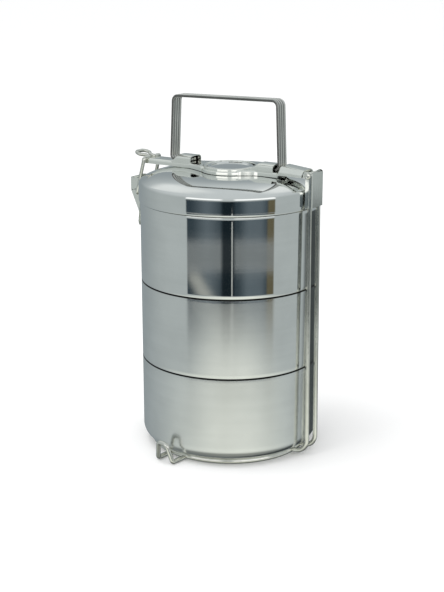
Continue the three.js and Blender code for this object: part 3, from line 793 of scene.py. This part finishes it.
def latch_lever(finish):
    """A pressed lever: a U-shaped section carried down its sloping back.

    The cheeks' depth and the section's half width change along it, both in straight steps between a
    few heights, so that the lever narrows to a flat finger tab.
    """
    x, z = LEVER_PIVOT
    back = rounded([
        (x - LEVER_OUT, z + 4), (x - LEVER_OUT, z - 6.5), (x + 4.7, z - 23.8), (x + 2.9, z - 35),
    ], [3, 8], 10)
    back = divided(back, 1.2)
    drop = z + 4 - back[:, 1]
    depth = np.interp(drop, [0, 1.6, 8, 18, 26, 29, 39], [8.2, 9.8, 9.9, 6.2, 1.2, 0.35, 0.3])
    half = LEVER_HALF - np.interp(drop, [0, 30, 36, 39], [0, 0, 0.4, 2])
    level = np.zeros_like(half)
    corners = corners_of((half, depth), (half, level), (-half, level), (-half, depth))
    outline = sheet_of(rounded(corners, 0.9, 6), -LEVER_SHEET)
    path = np.stack([back[:, 0], level, back[:, 1]], axis=1)
    along = unit(np.gradient(path, axis=0))
    inward = np.cross(along, [0, 1, 0])
    inward = inward * np.sign(inward[:, :1])
    across, deep = outline[..., :1], outline[..., 1:] + LEVER_WEB_IN
    points = path[:, None] + across * [0, 1, 0] + deep * inward[:, None]
    knuckle = barrel(x, z, FRAME_WIRE / 2 + GAP, FRAME_WIRE / 2 + GAP + 1.2, 2.8)
    ears = [barrel(*BAIL_PIVOT, 1.8, 2.8, 0.3, side * (LEVER_HALF + 0.1)) for side in (-1, 1)]
    surfaces = [(points, False, True, True), knuckle, *ears]
    piece("latch_lever_pressing", surfaces, "lever", "clamp_steel", finish, "latch_lever")


def barrel(x, z, inner, outer, half, y=0.0):
    """A short tube along Y: a rectangle of radius and place carried round a circle."""
    angle = whole_turn(36)
    profile = rounded([(inner, y), (inner, y - half), (outer, y - half), (outer, y + half),
                       (inner, y + half), (inner, y)], 0.15, 3)[:-1]
    r, along = profile.T
    grid = np.stack([x + np.outer(r, np.cos(angle)), np.repeat(along[:, None], len(angle), 1),
                     z + np.outer(r, np.sin(angle))], axis=-1)
    return grid, True, True, False


def latch_bail(finish):
    """A wire from cheek to cheek of the lever, over the arm's tip, with a finger loop."""
    seat_z = ARM_TOP_Z + GAP + BAIL_WIRE / 2 + 0.05
    x, z = BAIL_PIVOT
    neck_x, neck_half = BAIL_NECK
    loop_x, loop_half = BAIL_LOOP
    half = [(x, -(LEVER_HALF - 2), z), (x, -BAIL_HALF, z), (BAIL_SEAT_X, -BAIL_HALF, seat_z),
            (BAIL_SEAT_X, -neck_half, seat_z), (neck_x, -neck_half, seat_z + 0.32 * BAIL_RISE),
            (loop_x, -loop_half, seat_z + 0.56 * BAIL_RISE),
            (BAIL_LOOP_X, -loop_half, seat_z + BAIL_RISE)]
    corners = half + [(a, -b, c) for a, b, c in half[::-1]]
    radii = [1.8, 2.2, 1.9, 1.8, 2.4, 4.2]
    surface = wire(corners, radii + radii[::-1], BAIL_WIRE, (0.75, 0, 0.66))
    piece("latch_bail_wire", [surface], "bail", "wire_steel", finish, "latch_bail")


# ---- Studio ----------------------------------------------------------------------------------

def camera():
    """A camera at the height and distance that suit the object, looking slightly down."""
    data = bpy.data.cameras.new("camera")
    data.lens = CAMERA_LENS
    data.sensor_width = 36
    data.clip_start, data.clip_end = 0.01, 50
    made = bpy.data.objects.new("camera", data)
    made.location = (np.array(CAMERA_PLACE) + [AXIS_X / MM, 0, 0]) * MM
    flat = math.cos(CAMERA_PITCH)
    look = Vector((-math.sin(CAMERA_HEADING) * flat, math.cos(CAMERA_HEADING) * flat,
                   -math.sin(CAMERA_PITCH)))
    made.rotation_mode = "QUATERNION"
    made.rotation_quaternion = look.to_track_quat("-Z", "Y")
    bpy.context.scene.collection.objects.link(made)
    bpy.context.scene.camera = made


def floor():
    """A plain pale floor that the steel doesn't mirror."""
    mesh = bpy.data.meshes.new("floor")
    reach = 12
    corners = [(-reach, -reach, 0), (reach, -reach, 0), (reach, reach, 0), (-reach, reach, 0)]
    mesh.from_pydata(corners, [], [(0, 1, 2, 3)])
    made = bpy.data.objects.new("floor", mesh)
    bpy.context.scene.collection.objects.link(made)
    material = bpy.data.materials.new("floor_paint")
    material.use_nodes = True
    shader = material.node_tree.nodes["Principled BSDF"]
    shader.inputs["Base Color"].default_value = rgb(0.92, 0.92, 0.92)
    shader.inputs["Roughness"].default_value = 0.9
    mesh.materials.append(material)
    made.visible_glossy = False


def studio_walls(bearing, fall, z):
    """The walls: brighter above, greyer behind, pale in front below the opening, dark underfoot.

    A dark corner and two pale strips stand behind the object.
    """
    away = bearing.maths("ABSOLUTE", bearing)
    walls = z.rises(-0.1, 0.9).mixed(rgb(0.46, 0.50, 0.50), rgb(0.63, 0.67, 0.68))
    behind = away.rises(85, 165) * (1 - z.rises(0.1, 0.6))
    walls = (behind * 0.8).mixed(walls, rgb(0.25, 0.29, 0.31))
    front = bearing.between(-38, 44, 26) * fall.rises(0.30, 0.355)
    walls = (front * 0.9).mixed(walls, rgb(0.98, 1.0, 0.92))
    low_front = bearing.between(-80, 84, 34) * fall.rises(0.355, 0.405)
    walls = (low_front * 0.6).mixed(walls, rgb(0.92, 0.95, 0.86))
    walls = (fall.rises(0.55, 1.5) * 0.8).mixed(walls, rgb(0.12, 0.13, 0.12))
    corner = bearing.between(110, 160, 4) * fall.rises(0.195, 0.212)
    walls = (corner * 0.9).mixed(walls, rgb(0.03, 0.035, 0.035))
    wings = away.between(146, 169, 6) * z.between(0.5, 0.84, 0.08)
    return (wings * 0.5).mixed(walls, rgb(1.1, 1.12, 1.1))


def opening_view(bearing, fall, post):
    """What shows through the opening: two dim panes, a brown side, a pale shelf with light edges, a
    slanting streak, a dark post and a thin light line."""
    panes = bearing.between(-40, -18, 13) + bearing.between(16, 44, 8)
    view = panes.mixed(rgb(0.035, 0.052, 0.064), rgb(0.115, 0.145, 0.165))
    view = bearing.between(47, 62, 2).mixed(view, rgb(0.13, 0.115, 0.07))
    view = (fall.between(*SHELF_FALL, 0.002) * 0.75).mixed(view, rgb(0.25, 0.27, 0.27))
    edges = sum(fall.between(*edge, 0.001) for edge in SHELF_EDGES)
    view = (edges * 0.7).mixed(view, rgb(0.42, 0.44, 0.44))
    slant = (bearing - fall * 900).between(-297, -279, 7) * fall.rises(0.262, 0.268)
    view = (slant * 0.85).mixed(view, rgb(0.46, 0.47, 0.43))
    view = (post * 0.9).mixed(view, rgb(0.006, 0.012, 0.016))
    line = bearing.between(*LINE_SIDES, 0.4) * fall.rises(0.215, 0.219)
    return line.mixed(view, rgb(0.6, 0.62, 0.6))


def room():
    """A pale studio all round, with a dark opening in front that polished steel mirrors.

    A bright band lies just above the opening. Matt surfaces get the same light from all sides, and
    the camera itself sees white.
    """
    world = bpy.data.worlds.new("studio")
    bpy.context.scene.world = world
    world.use_nodes = True
    tree = world.node_tree
    tree.nodes.clear()
    start = Socket(tree)
    x, y, z = start.node("ShaderNodeTexCoord", output=0).parts()
    s, c = math.sin(CAMERA_HEADING), math.cos(CAMERA_HEADING)
    ahead, aside = x * s - y * c, x * c + y * s
    bearing = start.maths("ARCTAN2", aside, ahead) * (180 / math.pi)
    level = (x * x + y * y + 0.0001) ** 0.5
    fall = 0 - z / level

    opening = bearing.between(*OPENING_SIDES, 1.0)
    post = bearing.between(*POST_SIDES, 3)
    window = opening * fall.between(*OPENING_FALL, 0.014)
    studio = window.mixed(studio_walls(bearing, fall, z), opening_view(bearing, fall, post))
    band = opening * (1 - fall.rises(0.05, 0.15)) * (1 - z.rises(0.15, 0.6)) * (1 - post * 0.85)
    mirrored = band.mixed(studio, rgb(1.3, 1.3, 1.3))

    rays = tree.nodes.new("ShaderNodeLightPath").outputs
    seen, diffuse = Socket(tree, rays["Is Camera Ray"]), Socket(tree, rays["Is Diffuse Ray"])
    colour = diffuse.mixed(mirrored, rgb(1.16, 1.16, 1.16))
    colour = seen.mixed(colour, rgb(1.0, 1.0, 1.0))
    light = start.node("ShaderNodeBackground", {}, {"Color": colour, "Strength": 1.0})
    start.node("ShaderNodeOutputWorld", {}, {"Surface": light})


def softbox(name, place, size, power):
    """A large square light that faces the middle of the object and isn't mirrored."""
    data = bpy.data.lights.new(name, "AREA")
    data.energy = power
    data.size = size
    made = bpy.data.objects.new(name, data)
    made.location = place
    made.visible_glossy = False
    made.rotation_mode = "QUATERNION"
    made.rotation_quaternion = (Vector((0, 0, 0.12)) - Vector(place)).to_track_quat("-Z", "Y")
    bpy.context.scene.collection.objects.link(made)


# ---- Assembly --------------------------------------------------------------------------------

bpy.context.scene.view_settings.view_transform = "Standard"
camera()
floor()
room()
softbox("overhead", place=(-0.5, -0.6, 1.5), size=1.2, power=9)

bright = bowl_steel("polished_steel", roughness=0.045, spread=0.03, grain=0.03)
satin = bowl_steel("satin_steel", roughness=0.13, spread=0.09, grain=0.05)
soft = bowl_steel("soft_steel", roughness=0.22, spread=0.14, grain=0.07)
drawn, pressed, strap = wire_steel(), clamp_steel(), strap_steel()

bottom_bowl(soft)
upper_bowl("middle_bowl_shell", "middle_bowl", "middle_tier", satin)
upper_bowl("top_bowl_shell", "top_bowl", "upper_tier", bright)
lid(bright)
base_ring(drawn)
guard_foot("front_foot_hoop", "front_foot", FOOT_TURN, drawn)
guard_foot("rear_foot_hoop", "rear_foot", FOOT_TURN + math.pi, drawn)
hinge_wire("hinge_wire_front_rod", "hinge_wire_front", -HINGE_WIRE_Y, drawn)
hinge_wire("hinge_wire_rear_rod", "hinge_wire_rear", HINGE_WIRE_Y, drawn)
latch_wire(drawn)
hinge_bracket(pressed)
hinge_pin(drawn)
top_arm(pressed)
carrying_handle(strap)
handle_hood("left_hood_sheet", "left_handle_hood", pressed)
handle_hood("right_hood_sheet", "right_handle_hood", pressed)
latch_lever(pressed)
latch_bail(drawn)
